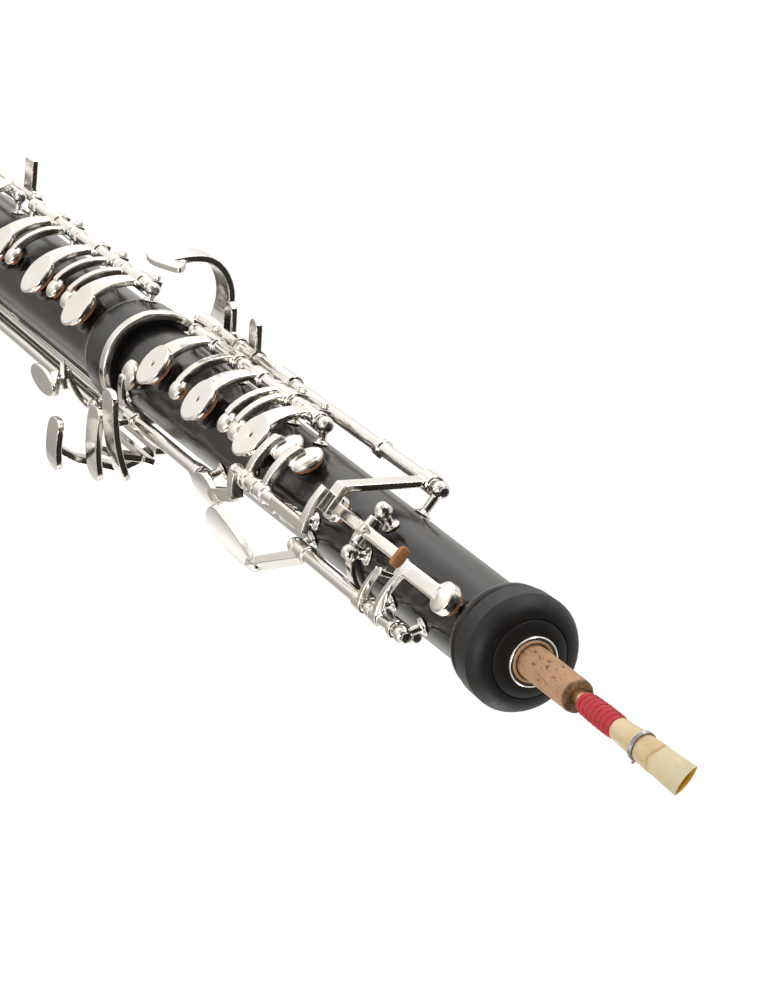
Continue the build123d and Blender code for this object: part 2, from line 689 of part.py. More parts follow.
def upper_stack():
    """The three finger plates of the left hand, with their small vent cups."""
    plate_r = 6.15
    cup, cork = cup_and_pad("plate", 129, -4, plate_r, OPEN_GAP, 0.65)
    key("half_hole_plate", ROD_STACK, 121.7, 134.1, [
        cup, slanted(129, -17, 128, -62, 8.6, 4.6, 15.9, 17.5), collar(ROD_STACK, 121.7, 124, 2.3),
        collar(ROD_STACK, 131, 134.1, 2.3), strap(127.5, 5.5, 16.4, 18.4, -74, -62)], [cork])

    cup, cork = cup_and_pad("plate", 163, 0, plate_r, OPEN_GAP, 0.65)
    vents = [cup_and_pad("domed", t, 0, 2.9, OPEN_GAP) for t in (138.5, 145.5)]
    key("second_plate", ROD_STACK, 138.9, 170.2, [
        cup, slanted(163, -14, 161.5, -62, 8.6, 4.8, 15.9, 17.5),
        vents[0][0], vents[1][0], collar(ROD_STACK, 138.9, 148, 2.3), collar(ROD_STACK, 158, 165, 2.5),
        strap(141.5, 5, 16.4, 18.4, -74, -62), strap(153, 7, 15.6, 17.4, -76, -60),
        slanted(138.9, -4, 141.4, -62, 2.8, 3.0, 15.2, 17.4),
        slanted(145.7, -4, 147.2, -62, 2.8, 3.0, 15.2, 17.4)],
        [cork, vents[0][1], vents[1][1]])

    cup, cork = cup_and_pad("plate", 196, 0, plate_r, OPEN_GAP, 0.65)
    vent, vent_cork = cup_and_pad("domed", 178, 4, 2.9, OPEN_GAP)
    key("third_plate", ROD_STACK, 175.0, 205.9, [
        cup, slanted(196, -14, 194.5, -62, 8.6, 4.8, 15.9, 17.5), vent,
        collar(ROD_STACK, 175, 181, 2.4), collar(ROD_STACK, 191, 198, 2.5),
        strap(186, 7, 15.6, 17.4, -76, -60), strap(201.5, 5, 16.4, 18.4, -74, -62),
        slanted(178, 0, 178.6, -62, 3.0, 3.2, 15.2, 17.4)], [cork, vent_cork])

    cup, cork = cup_and_pad("domed", 211.5, 24, 4.2, PAD_GAP)
    key("g_sharp_key", ROD_G_SHARP, 152.4, 217.6, [
        cup, strap(211.5, 3.2, 15.6, 17.0, 60, 26),
        finger([(12, -19), (20, -11.8), (26, -4.4), (28.6, 0.6)], 199, 208),
        spar([(14.6, -8.6), (18.5, -12.8)], 201, 206, 1.8), collar(ROD_G_SHARP, 200, 207, 2.4),
        collar(ROD_G_SHARP, 152.4, 156, 2.3)], [cork])


def lower_stack():
    """The three plates of the right hand."""
    for name, t, vent_t, t_from, t_to in (
        ("fourth_plate", 256.5, 267, 246.4, 270.1),
        ("fifth_plate", 294, 279.6, 274.9, 310.1),
        ("sixth_plate", 332, 319.6, 314.9, 350.1),
    ):
        cup, cork = cup_and_pad("plate", t, 0, 6.6, OPEN_GAP)
        vent, vent_cork = cup_and_pad("domed", vent_t, 0, 3.1, OPEN_GAP)
        key(name, ROD_LOWER_STACK, t_from, t_to, [
            cup, slanted(t, -13, t - 1.5, -62, 10.4, 5.4, 17.4, 19.2), vent,
            slanted(vent_t, -4, vent_t, -62, 2.8, 3.2, 16.9, 19.1),
            collar(ROD_LOWER_STACK, t - 5, t + 2, 2.5), collar(ROD_LOWER_STACK, t_to - 3, t_to, 2.3),
            strap(t + 3.5, 6, 18.2, 20.2, -77, -60), strap(t_from + 4, 5, 18.6, 20.6, -74, -62)],
            [cork, vent_cork])


def low_keys():
    """Keys of the little fingers."""
    cup, cork = cup_and_pad("domed", 400, 0, 6.0, OPEN_GAP)
    key("low_c_key", ROD_LOW_C, 366.4, 407.1, [
        cup, strap(400, 4, 17.9, 19.3, -58, -9),
        strap(371, 5, 19.2, 20.8, -58, -34), placed(touch(10, 17), 371, -34, 20.0)], [cork])

    cup, cork = cup_and_pad("domed", 424, -3, 6.2, PAD_GAP)
    key("low_c_sharp_key", ROD_C_SHARP, 375.4, 431.6, [
        cup, strap(424, 4, 16.6, 18.2, -86, -14),
        spar([(-18.6, -1.3), (-22.5, -4), (-28, -8)], 377, 385, 1.8)], [cork])

    cup, cork = cup_and_pad("domed", 375, 58, 5.2, PAD_GAP)
    key("e_flat_key", ROD_E_FLAT, 366.4, 389.6, [
        cup, strap(375, 4, 16.4, 17.9, 22, 52), strap(367.8, 2.2, 16.6, 17.8, 22, 76),
        strap(386.0, 5, 18.6, 20.2, 22, -8), placed(touch(10, 14), 386, -8, 19.6)], [cork])

    cup, cork = cup_and_pad("domed", 450, 0, 6.8, OPEN_GAP)
    key("low_b_key", ROD_LOW_B, 388.4, 459.6, [
        cup, strap(450, 4.5, 18.2, 19.6, 40, 7), strap(392, 5, 18.4, 20.0, 40, 66)], [cork])

    cup, cork = cup_and_pad("domed", 523, 0, 6.8, OPEN_GAP)
    key("low_b_flat_key", ROD_BELL, 514.4, 537.6, [
        cup, strap(523, 4.5, 19.1, 20.5, 24, 7), strap(523, 4.5, 19.3, 22.4, 22, 40),
        strap(516.9, 5, 20.8, 22.4, 40, 68), bar(480, 519, 66, 21.6, 21.6, 4.0)], [cork])


def little_finger_levers():
    """Left little finger levers, reaching over the joint from the lower joint."""
    key("low_b_flat_lever", ROD_LEVER_B_FLAT, 245.4, 471.6, [
        strap(248.4, 5, 19.4, 21.0, 88, 50), bar(238, 250.8, 52, 24.4, 20.2, 4.0),
        placed(touch(20, 8), 237, 46, 29.5), bar(230, 240, 48, 29.8, 25.6, 4.0, 2.4),
        strap(469, 4, 18.6, 20.2, 88, 66), bar(467, 486, 66, 19.2, 19.2, 3.6)])
    key("left_e_flat_lever", ROD_LEVER_E_FLAT, 245.4, 365.6, [
        bar(211, 250, 108, 22.4, 22.4, 3.2, 2.0), strap(248, 4, 18.8, 23.4, 105, 111),
        finger([(18, -13.4), (24, -9.6), (30, -4.6), (33.6, -0.4)], 210.5, 219.5),
        spar([(21.3, 6.9), (25.6, -1), (27.4, -6.6)], 212.5, 217.5, 1.8),
        strap(363, 3, 14.6, 16.0, 108, 76), bar(362, 369, 79, 15.3, 15.3, 3.0),
        strap(363, 3, 15.0, 18.6, 102, 110)])
    key("low_b_lever", ROD_LEVER_B, 245.4, 393.6, [
        bar(223, 250, 128, 22.4, 22.4, 3.2, 2.0), strap(248, 4, 18.8, 23.4, 125, 131),
        finger([(27.2, -15.4), (31.4, -13), (35.6, -9.8), (38.4, -6.4)], 222, 231),
        spar([(17.7, 13.8), (28, 8), (33, -4), (34, -10.8)], 224, 229, 1.8),
        strap(391, 4, 14.2, 15.6, 128, 60), strap(391, 4, 14.9, 17.5, 66, 60),
        strap(391, 4, 14.9, 18.6, 121, 130)])


def thumb_rest():
    """Curved rest that the right thumb pushes up on, on a plate with two screws."""
    base_r = radius_at(300)
    screw_ts = (290, 310)
    shelf_path = [(0, 0), (6, -0.6), (11, -2.6), (14.5, -5.6)]
    with BuildPart() as rest:
        with BuildSketch(radial_plane(300, 180, base_r - 0.6)):
            RectangleRounded(26, 10, 3)
        extrude(amount=2.4)
        side = Plane(origin=at(299, 180, base_r + 1), x_dir=outward(180), z_dir=(1, 0, 0))
        with BuildSketch(side):
            with BuildLine() as shelf:
                Spline(*shelf_path)
            trace(shelf.line, 2.2)
        extrude(amount=6, both=True)
        with BuildSketch(Plane.XY):
            Circle(radius_at(314))
        extrude(amount=TOP, mode=Mode.SUBTRACT)
        for t in screw_ts:
            with BuildSketch(radial_plane(t, 180, base_r - 1)):
                Circle(1.1)
            extrude(amount=4, mode=Mode.SUBTRACT)
    save(rest.part, "thumb_rest")
    with BuildPart() as screws:
        for t in screw_ts:
            with BuildSketch(radial_plane(t, 180, base_r - 4)):
                Circle(1.0)
            extrude(amount=6)
            with BuildSketch(radial_plane(t, 180, base_r + 1.8)):
                Circle(1.9)
            extrude(amount=0.9)
            with BuildSketch(radial_plane(t, 180, base_r + 2.3)):
                Rectangle(0.5, 4)
            extrude(amount=1, mode=Mode.SUBTRACT)
    save(screws.part, "thumb_rest_screws")


os.makedirs("parts", exist_ok=True)
upper_joint()
lower_joint()
bell()
rings_and_corks()
octave_vents()
reed()
posts_and_rods()
octave_keys()
trill_keys()
upper_stack()
lower_stack()
low_keys()
little_finger_levers()
thumb_rest()
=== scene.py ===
import json
import math
import random

import bpy
import bmesh
from mathutils import Matrix, Quaternion, Vector, noise


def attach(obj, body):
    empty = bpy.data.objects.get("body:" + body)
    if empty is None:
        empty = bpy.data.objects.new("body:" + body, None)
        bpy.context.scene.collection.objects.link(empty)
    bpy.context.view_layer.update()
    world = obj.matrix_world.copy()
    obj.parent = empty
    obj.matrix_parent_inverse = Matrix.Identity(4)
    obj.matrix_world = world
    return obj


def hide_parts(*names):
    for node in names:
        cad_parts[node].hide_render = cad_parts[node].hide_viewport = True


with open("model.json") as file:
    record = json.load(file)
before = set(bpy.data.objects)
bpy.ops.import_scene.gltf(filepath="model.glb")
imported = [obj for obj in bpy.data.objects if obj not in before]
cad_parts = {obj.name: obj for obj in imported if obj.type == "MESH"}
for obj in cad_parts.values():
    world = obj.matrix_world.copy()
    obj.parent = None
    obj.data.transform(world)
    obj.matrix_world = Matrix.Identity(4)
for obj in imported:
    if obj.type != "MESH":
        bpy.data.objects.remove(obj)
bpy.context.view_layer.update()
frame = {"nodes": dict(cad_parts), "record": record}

nodes = frame["nodes"]
body_of_node = {}
for body, members in frame["record"]["behaviour"]["bodies"].items():
    for member in members:
        body_of_node[member] = body
scene = bpy.context.scene

MM = 0.001
TOP = 0.594                   # top of the upper joint, metres
CROWN_FOOT = TOP - 0.0108     # the turned crown is above this height
SLEEVE_END = TOP + 0.0195     # just under the end of the reed's cork
SCRAPE_FOOT = TOP + 0.054     # where the cane's bark ends


# ---------------------------------------------------------------- camera

camera = bpy.data.objects.new("camera", bpy.data.cameras.new("camera"))
scene.collection.objects.link(camera)
scene.camera = camera
eye = Vector((0.0, -0.33984, 1.08308))
look = Vector((-0.00848, 0.0, 0.50633)) - eye
camera.location = eye
camera.rotation_mode = "QUATERNION"
camera.rotation_quaternion = look.to_track_quat("-Z", "Y") @ Quaternion((0, 0, 1), math.radians(126.77))
camera.data.sensor_width = 36
camera.data.lens = 103.68
camera.data.clip_start = 0.01
camera.data.clip_end = 50


# ---------------------------------------------------------------- materials

def fill_ramp(ramp, stops):
    """Set a colour ramp's stops, each of them (place, grey or colour)."""
    while len(ramp.elements) < len(stops):
        ramp.elements.new(0.5)
    for element, (place, colour) in zip(ramp.elements, stops):
        element.position = place
        if isinstance(colour, (int, float)):
            colour = (colour, colour, colour)
        element.color = (*colour, 1.0)


class Nodes:
    """A short way to build one node material. Scales are per metre, heights and distances in metres."""

    def __init__(self, name):
        self.material = bpy.data.materials.new(name)
        self.material.use_nodes = True
        self.tree = self.material.node_tree
        self.shader = self.tree.nodes["Principled BSDF"]
        self.where = self.tree.nodes.new("ShaderNodeTexCoord").outputs["Object"]

    def put(self, value, socket):
        """Link the value to the socket if it is another node's output, or else set it."""
        if isinstance(value, bpy.types.NodeSocket):
            self.tree.links.new(value, socket)
        else:
            socket.default_value = value

    def stretched(self, scale):
        """The place with each axis multiplied; a small number draws a pattern out along that axis."""
        node = self.tree.nodes.new("ShaderNodeMapping")
        self.put(self.where, node.inputs["Vector"])
        node.inputs["Scale"].default_value = scale
        return node.outputs["Vector"]

    def noise(self, scale, detail=4.0, rough=0.5, vector=None, distortion=0.0):
        node = self.tree.nodes.new("ShaderNodeTexNoise")
        self.put(vector or self.where, node.inputs["Vector"])
        node.inputs["Scale"].default_value = scale
        node.inputs["Detail"].default_value = detail
        node.inputs["Roughness"].default_value = rough
        node.inputs["Distortion"].default_value = distortion
        return node.outputs["Fac"]

    def cells(self, scale, vector):
        node = self.tree.nodes.new("ShaderNodeTexVoronoi")
        self.put(vector, node.inputs["Vector"])
        node.inputs["Scale"].default_value = scale
        return node.outputs["Distance"]

    def ramp(self, factor, *stops):
        """A ramp's colour at the factor; stops are as in fill_ramp."""
        node = self.tree.nodes.new("ShaderNodeValToRGB")
        self.put(factor, node.inputs["Fac"])
        fill_ramp(node.color_ramp, stops)
        return node.outputs["Color"]

    def place_along(self):
        """The x, y and z of the point that is shaded."""
        node = self.tree.nodes.new("ShaderNodeSeparateXYZ")
        self.put(self.where, node.inputs[0])
        return node.outputs

    def above(self, height, per_metre):
        """How far the point lies above a height of the object, in steps of 1 / per_metre."""
        return self.math("MULTIPLY", self.math("SUBTRACT", self.place_along()[2], height), per_metre)

    def mix(self, factor, a, b):
        node = self.tree.nodes.new("ShaderNodeMix")
        node.data_type = "RGBA"
        self.put(factor, node.inputs["Factor"])
        for value, socket in ((a, node.inputs[6]), (b, node.inputs[7])):
            if isinstance(value, tuple):
                value = (*value, 1.0)
            self.put(value, socket)
        return node.outputs[2]

    def math(self, how, a, b=0.0):
        node = self.tree.nodes.new("ShaderNodeMath")
        node.operation = how
        self.put(a, node.inputs[0])
        self.put(b, node.inputs[1])
        return node.outputs[0]

    def bump(self, height, distance, strength=1.0, under=None):
        node = self.tree.nodes.new("ShaderNodeBump")
        self.put(height, node.inputs["Height"])
        node.inputs["Distance"].default_value = distance
        node.inputs["Strength"].default_value = strength
        if under is not None:
            self.put(under, node.inputs["Normal"])
        return node.outputs["Normal"]

    def finish(self, colour, roughness, normal=None, **fixed):
        """Fill the shader's main sockets, and set the rest to plain numbers."""
        self.put(colour, self.shader.inputs["Base Color"])
        self.put(roughness, self.shader.inputs["Roughness"])
        if normal is not None:
            self.put(normal, self.shader.inputs["Normal"])
        for key, value in fixed.items():
            self.shader.inputs[key.replace("_", " ").title()].default_value = value
        return self.material


def grenadilla():
    """Oiled black wood: long fine grain, short open pores, a satin turned crown."""
    n = Nodes("grenadilla")
    grain = n.noise(420, 6, 0.6, n.stretched((1, 1, 0.03)))
    pores = n.cells(2600, n.stretched((1, 1, 0.06)))
    pore = n.ramp(pores, (0.10, 1.0), (0.24, 0.0))
    tone = n.ramp(grain, (0.3, (0.0045, 0.0042, 0.0045)), (0.62, (0.011, 0.0095, 0.009)),
                  (0.8, (0.02, 0.015, 0.012)))
    tone = n.mix(n.math("MULTIPLY", pore, 0.5), tone, (0.002, 0.002, 0.002))
    crown = n.ramp(n.above(CROWN_FOOT, 2000.0), (0.0, 0.0), (1.0, 1.0))
    rub = n.noise(60, 5, 0.6)
    rough = n.math("ADD", n.math("MULTIPLY", rub, 0.16), n.math("MULTIPLY", pore, 0.08))
    rough = n.math("ADD", rough, n.math("MULTIPLY", crown, 0.26))
    rough = n.math("ADD", rough, 0.13)
    turned = n.noise(7000, 2, 0.5, n.stretched((0.03, 0.03, 1)))
    handling = n.noise(2300, 3, 0.6, n.stretched((0.25, 0.25, 1)))
    normal = n.bump(n.math("MULTIPLY", turned, crown), 0.00003, 0.35)
    normal = n.bump(n.math("MULTIPLY", handling, crown), 0.00002, 0.3, normal)
    normal = n.bump(n.math("SUBTRACT", 1.0, pore), 0.00004, 0.3, normal)
    return n.finish(tone, rough, normal)


def silver():
    """Plated keywork: bright, with finger haze, hairline polishing marks and a warm tinge in places."""
    n = Nodes("silver_plate")
    haze = n.noise(130, 6, 0.62, distortion=0.4)
    warm = n.noise(55, 3, 0.5)
    tone = n.mix(n.ramp(warm, (0.42, 0.0), (0.75, 0.55)), (0.93, 0.905, 0.865), (0.8649, 0.8009, 0.692))
    marks = n.math("MULTIPLY", n.noise(5200, 2, 0.4, n.stretched((1.0, 0.05, 0.9))),
                   n.noise(4600, 2, 0.4, n.stretched((0.08, 1.0, 0.6))))
    rough = n.ramp(haze, (0.35, 0.07), (0.72, 0.2))
    rough = n.math("ADD", rough, n.math("MULTIPLY", marks, 0.10))
    wave = n.noise(300, 2, 0.4)
    normal = n.bump(wave, 0.00005, 0.18)
    normal = n.bump(marks, 0.000012, 0.2, normal)
    return n.finish(tone, rough, normal, metallic=1.0)


def steel():
    """Blued-grey rod steel with lathe rings."""
    n = Nodes("steel")
    rings = n.noise(9000, 2, 0.5, n.stretched((0.02, 0.02, 1)))
    stain = n.noise(200, 4, 0.6)
    tone = n.mix(stain, (0.55, 0.55, 0.57), (0.42, 0.41, 0.42))
    rough = n.math("ADD", n.math("MULTIPLY", rings, 0.15), 0.2)
    return n.finish(tone, rough, n.bump(rings, 0.00001, 0.4), metallic=1.0)


def cork(name, pale, deep, dark, scale=1.0):
    """Natural cork: granules of mixed tan, dark lenticels and pits. A full-size cork is the reed's too,
    with a soiled end where the staple comes out of it."""
    n = Nodes(name)
    grains = n.cells(1500 * scale, n.stretched((1, 1, 0.8)))
    cloud = n.noise(260 * scale, 6, 0.65)
    fleck = n.noise(900 * scale, 3, 0.7, n.stretched((1, 1, 0.45)))
    tone = n.mix(n.ramp(cloud, (0.3, 0.0), (0.7, 1.0)), pale, deep)
    tone = n.mix(n.ramp(fleck, (0.60, 0.0), (0.68, 0.85)), tone, dark)
    tone = n.mix(n.ramp(grains, (0.0, 0.0), (0.8, 0.22)), tone, dark)
    spots = n.cells(420 * scale, n.stretched((1, 1, 0.62)))
    spot = n.ramp(spots, (0.10, 1.0), (0.19, 0.0))
    tone = n.mix(n.math("MULTIPLY", spot, 0.8), tone, dark)
    if scale == 1.0:
        end = n.ramp(n.above(SLEEVE_END, 1500.0), (0.0, 0.0), (0.7, 1.0))
        soiled = n.math("MULTIPLY", end, n.ramp(cloud, (0.42, 0.2), (0.58, 0.85)))
        tone = n.mix(soiled, tone, (0.07, 0.04, 0.025))
    normal = n.bump(n.ramp(fleck, (0.56, 1.0), (0.68, 0.0)), 0.00016, 0.6)
    normal = n.bump(n.math("SUBTRACT", 1.0, spot), 0.0002, 0.5, normal)
    normal = n.bump(grains, 0.00006, 0.5, normal)
    return n.finish(tone, 0.78, normal, sheen_weight=0.08)


def thread():
    """Crimson waxed silk, slightly faded, with pale fibre flecks."""
    n = Nodes("thread")
    cloud = n.noise(500, 4, 0.6)
    fibre = n.noise(3800, 3, 0.6, n.stretched((1, 1, 3)))
    tone = n.mix(cloud, (0.52, 0.012, 0.03), (0.72, 0.03, 0.055))
    tone = n.mix(n.ramp(fibre, (0.64, 0.0), (0.74, 0.75)), tone, (0.85, 0.42, 0.40))
    normal = n.bump(fibre, 0.00004, 0.6)
    return n.finish(tone, 0.42, normal, sheen_weight=0.25, sheen_roughness=0.4)


def cane():
    """Golden cane: fine fibres along the blade, a paler scrape towards the tip."""
    n = Nodes("cane")
    fibre = n.noise(2600, 4, 0.6, n.stretched((1, 1, 0.035)))
    wobble = n.math("MULTIPLY", n.noise(500, 3, 0.5), 0.003)
    edge = n.math("ADD", n.above(SCRAPE_FOOT, 1.0), wobble)
    scrape = n.ramp(n.math("MULTIPLY", edge, 1500.0), (0.0, 0.0), (0.9, 1.0))
    brim = n.ramp(n.math("MULTIPLY", n.math("ADD", edge, 0.0006), 800.0),
                  (0.0, 0.0), (0.45, 0.8), (0.9, 0.0))
    stain = n.noise(170, 4, 0.6, n.stretched((1, 1, 0.5)))
    bark = n.mix(fibre, (0.62, 0.42, 0.19), (0.80, 0.62, 0.34))
    bark = n.mix(n.ramp(stain, (0.42, 0.0), (0.66, 0.7)), bark, (0.86, 0.72, 0.48))
    inner = n.mix(fibre, (0.72, 0.54, 0.29), (0.90, 0.79, 0.58))
    tone = n.mix(scrape, bark, inner)
    tone = n.mix(brim, tone, (0.50, 0.31, 0.13))
    tone = n.mix(n.ramp(fibre, (0.62, 0.0), (0.78, 0.4)), tone, (0.50, 0.29, 0.10))
    rough = n.math("ADD", n.math("MULTIPLY", scrape, 0.35), 0.2)
    normal = n.bump(fibre, 0.00003, 0.5)
    return n.finish(tone, rough, normal, subsurface_weight=0.25, subsurface_scale=0.001,
                    subsurface_radius=(1.0, 0.55, 0.25))


def cane_lining():
    """Inside of the blades: deeper amber, with the same fibres."""
    n = Nodes("cane_lining")
    fibre = n.noise(2200, 4, 0.6, n.stretched((1, 1, 0.04)))
    tone = n.mix(fibre, (0.72, 0.36, 0.06), (0.88, 0.56, 0.16))
    return n.finish(tone, 0.5, n.bump(fibre, 0.00004, 0.5), subsurface_weight=0.3, subsurface_scale=0.001,
                    subsurface_radius=(1.0, 0.5, 0.15))


def brass():
    """Drawn brass tube, dulled towards brown in patches."""
    n = Nodes("brass")
    patch = n.noise(350, 5, 0.6)
    line = n.noise(5000, 2, 0.5, n.stretched((1, 1, 0.03)))
    tone = n.mix(n.ramp(patch, (0.4, 0.0), (0.7, 1.0)), (0.86, 0.66, 0.36), (0.52, 0.36, 0.18))
    rough = n.math("ADD", n.math("MULTIPLY", patch, 0.3), 0.12)
    return n.finish(tone, rough, n.bump(line, 0.00001, 0.3), metallic=1.0)


finishes = {
    "grenadilla": grenadilla(),
    "silver_plate": silver(),
    "steel": steel(),
    "cork": cork("cork", (0.66, 0.42, 0.24), (0.55, 0.31, 0.155), (0.12, 0.05, 0.022)),
    "pad_cork": cork("pad_cork", (0.58, 0.25, 0.10), (0.44, 0.165, 0.06), (0.18, 0.06, 0.02), 1.4),
    "cane": cane(),
    "thread": thread(),
    "brass": brass(),
}


# ---------------------------------------------------------------- pieces from the CAD

SLOT_ENDINGS = {
    "_body": "grenadilla", "_pads": "pad_cork", "_cork": "cork", "_rods": "steel", "_rod": "steel",
    "_wire": "steel", "_screws": "steel", "reed_staple": "brass", "reed_thread": "thread",
    "reed_cane": "cane",
}


def slot_for(name):
    """The material slot of a CAD node, told by the end of its name."""
    for ending, slot in SLOT_ENDINGS.items():
        if name.endswith(ending):
            return slot
    return "silver_plate"


def finished(piece, slot, body, *stands_for):
    """Give a new piece its finish and its body."""
    piece.data.materials.clear()
    piece.data.materials.append(finishes[slot])
    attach(piece, body)
    if stands_for:
        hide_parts(*stands_for)
    return piece


def shaded(mesh, angle=32):
    """Smooth shading, broken at edges sharper than the angle."""
    mesh.shade_smooth()
    mesh.set_sharp_from_angle(angle=math.radians(angle))


def dress(name):
    """A CAD node that stays: its finish, and smooth shading between its sharp edges."""
    node = nodes[name]
    node.data.materials.clear()
    node.data.materials.append(finishes[slot_for(name)])
    shaded(node.data)


BUFFING_VOXEL = 0.2     # millimetres, as the mesh is while it is remeshed
BUFFING_PASSES = 5
FACES_KEPT = 0.3


def polished(name):
    """The node's shape with brazed inside corners and rounded edges, as cast and buffed keywork has."""
    mesh = nodes[name].data.copy()
    piece = bpy.data.objects.new(name + ".buffed", mesh)
    scene.collection.objects.link(piece)
    mesh.transform(Matrix.Scale(1 / MM, 4))
    remesh = piece.modifiers.new("remesh", "REMESH")
    remesh.mode = "VOXEL"
    remesh.voxel_size = BUFFING_VOXEL
    remesh.adaptivity = 0
    soften = piece.modifiers.new("soften", "SMOOTH")
    soften.factor = 0.5
    soften.iterations = BUFFING_PASSES
    thin = piece.modifiers.new("thin", "DECIMATE")
    thin.ratio = FACES_KEPT
    view = bpy.context.evaluated_depsgraph_get()
    made = bpy.data.meshes.new_from_object(piece.evaluated_get(view))
    piece.modifiers.clear()
    piece.data = made
    made.transform(Matrix.Scale(MM, 4))
    made.shade_smooth()
    return finished(piece, slot_for(name), body_of_node[name], name)


def piece_from(name, points, faces):
    """A new smooth object of the given points and faces."""
    mesh = bpy.data.meshes.new(name)
    mesh.from_pydata(points, [], faces)
    mesh.shade_smooth()
    piece = bpy.data.objects.new(name, mesh)
    scene.collection.objects.link(piece)
    return piece


class Batch:
    """Several small shapes in one piece."""

    def __init__(self):
        self.points = []
        self.faces = []

    def take(self, made):
        points, faces = made
        start = len(self.points)
        self.points += points
        self.faces += [tuple(v + start for v in face) for face in faces]


def ends(count, sides):
    """The two faces that close a skin of so many points, with so many sides."""
    return [tuple(range(sides))[::-1], tuple(range(count - sides, count))]


def skin(rings, closed_rows=False):
    """Quads between rings of points; every ring goes right round."""
    count = len(rings[0])
    points = [point for ring in rings for point in ring]
    rows = len(rings) if closed_rows else len(rings) - 1
    faces = []
    for row in range(rows):
        here = row * count
        there = (row + 1) % len(rings) * count
        for i in range(count):
            j = (i + 1) % count
            faces.append((here + i, here + j, there + j, there + i))
    return points, faces


def tube_along(path, radius, sides=8):
    """A round strand along a list of points."""
    rings = []
    side = None
    for i, point in enumerate(path):
        run = (path[min(i + 1, len(path) - 1)] - path[max(i - 1, 0)]).normalized()
        if side is None:
            side = run.orthogonal().normalized()
        side = (side - run * side.dot(run)).normalized()
        other = run.cross(side)
        rings.append([point + (side * math.cos(2 * math.pi * k / sides)
                               + other * math.sin(2 * math.pi * k / sides)) * radius for k in range(sides)])
    points, faces = skin(rings)
    return points, faces + ends(len(points), sides)


# ---------------------------------------------------------------- reed, heights in mm above the top

REED_FOOT = -8.5
SLEEVE_R = 3.7
SLEEVE_TOP = 20.0
CANE_FOOT = 37.6
CANE_TIP = 63.5


def on_reed(x, y, height):
    """A point of the reed, from millimetres across and millimetres above the top of the upper joint."""
    return Vector((x, y, height)) * MM + Vector((0, 0, TOP))


def round_reed(turn, r, height):
    """The same, from an angle in radians and a distance from the reed's middle."""
    return on_reed(math.cos(turn) * r, math.sin(turn) * r, height)


def staple_r(height):
    """Radius of the tapered staple inside the cork."""
    return 2.7 - 0.9 * (height - REED_FOOT) / (SLEEVE_TOP - REED_FOOT)


def signed_turn(turn):
    """The angle, brought between minus and plus half a turn."""
    return (turn + math.pi) % (2 * math.pi) - math.pi


def reed_cork_piece():
    """Cork sleeve: pits and short cracks, a glued seam, and a roughly cut end."""
    pick = random.Random(11)
    pits = [(pick.uniform(0, 2 * math.pi), pick.uniform(0.5, 19.4), pick.uniform(0.12, 0.34),
             pick.uniform(0.5, 1.7), pick.uniform(0.08, 0.22)) for _ in range(75)]
    around, along = 220, 220
    seam_turn = 4.35
    profile = [(SLEEVE_R, REED_FOOT), (SLEEVE_R, -1.0)]
    profile += [(SLEEVE_R, -1.0 + 20.4 * k / along) for k in range(1, along + 1)]
    profile += [(3.66, 19.62), (3.56, 19.85), (3.36, 19.98), (3.0, SLEEVE_TOP), (2.7, 19.98), (2.4, 19.96)]
    profile += [(2.1, 19.95), (staple_r(20) + 0.02, 19.9), (staple_r(19) + 0.02, 19.0)]
    rings = []
    for radius, height in profile:
        row = []
        for k in range(around):
            turn = 2 * math.pi * k / around
            place = Vector((math.cos(turn) * SLEEVE_R, math.sin(turn) * SLEEVE_R, height))
            dent = 0.0
            if radius > 3.4 and height > 0:
                for angle, middle, wide, tall, deep in pits:
                    if abs(height - middle) > tall:
                        continue
                    gap = signed_turn(turn - angle) * SLEEVE_R
                    away = (gap / wide) ** 2 + ((height - middle) / tall * 1.2) ** 2
                    if away < 1:
                        dent += deep * (1 - away)
                seam = signed_turn(turn - seam_turn) * SLEEVE_R
                seam += 0.05 * noise.noise(Vector((height * 0.9, 3, 0)))
                dent += 0.10 * math.exp(-(seam / 0.07) ** 2)
                dent += 0.018 * noise.noise(place * 2.6)
            rough = 0.0
            if height > 19.8:
                rough = 0.22 * noise.noise(place * 1.3) + 0.10 * noise.noise(place * 5)
            row.append(round_reed(turn, radius - dent, height + rough))
        rings.append(row)
    points, faces = skin(rings)
    return finished(piece_from("reed_cork_sleeve", points, faces), "cork", "reed", "reed_cork")


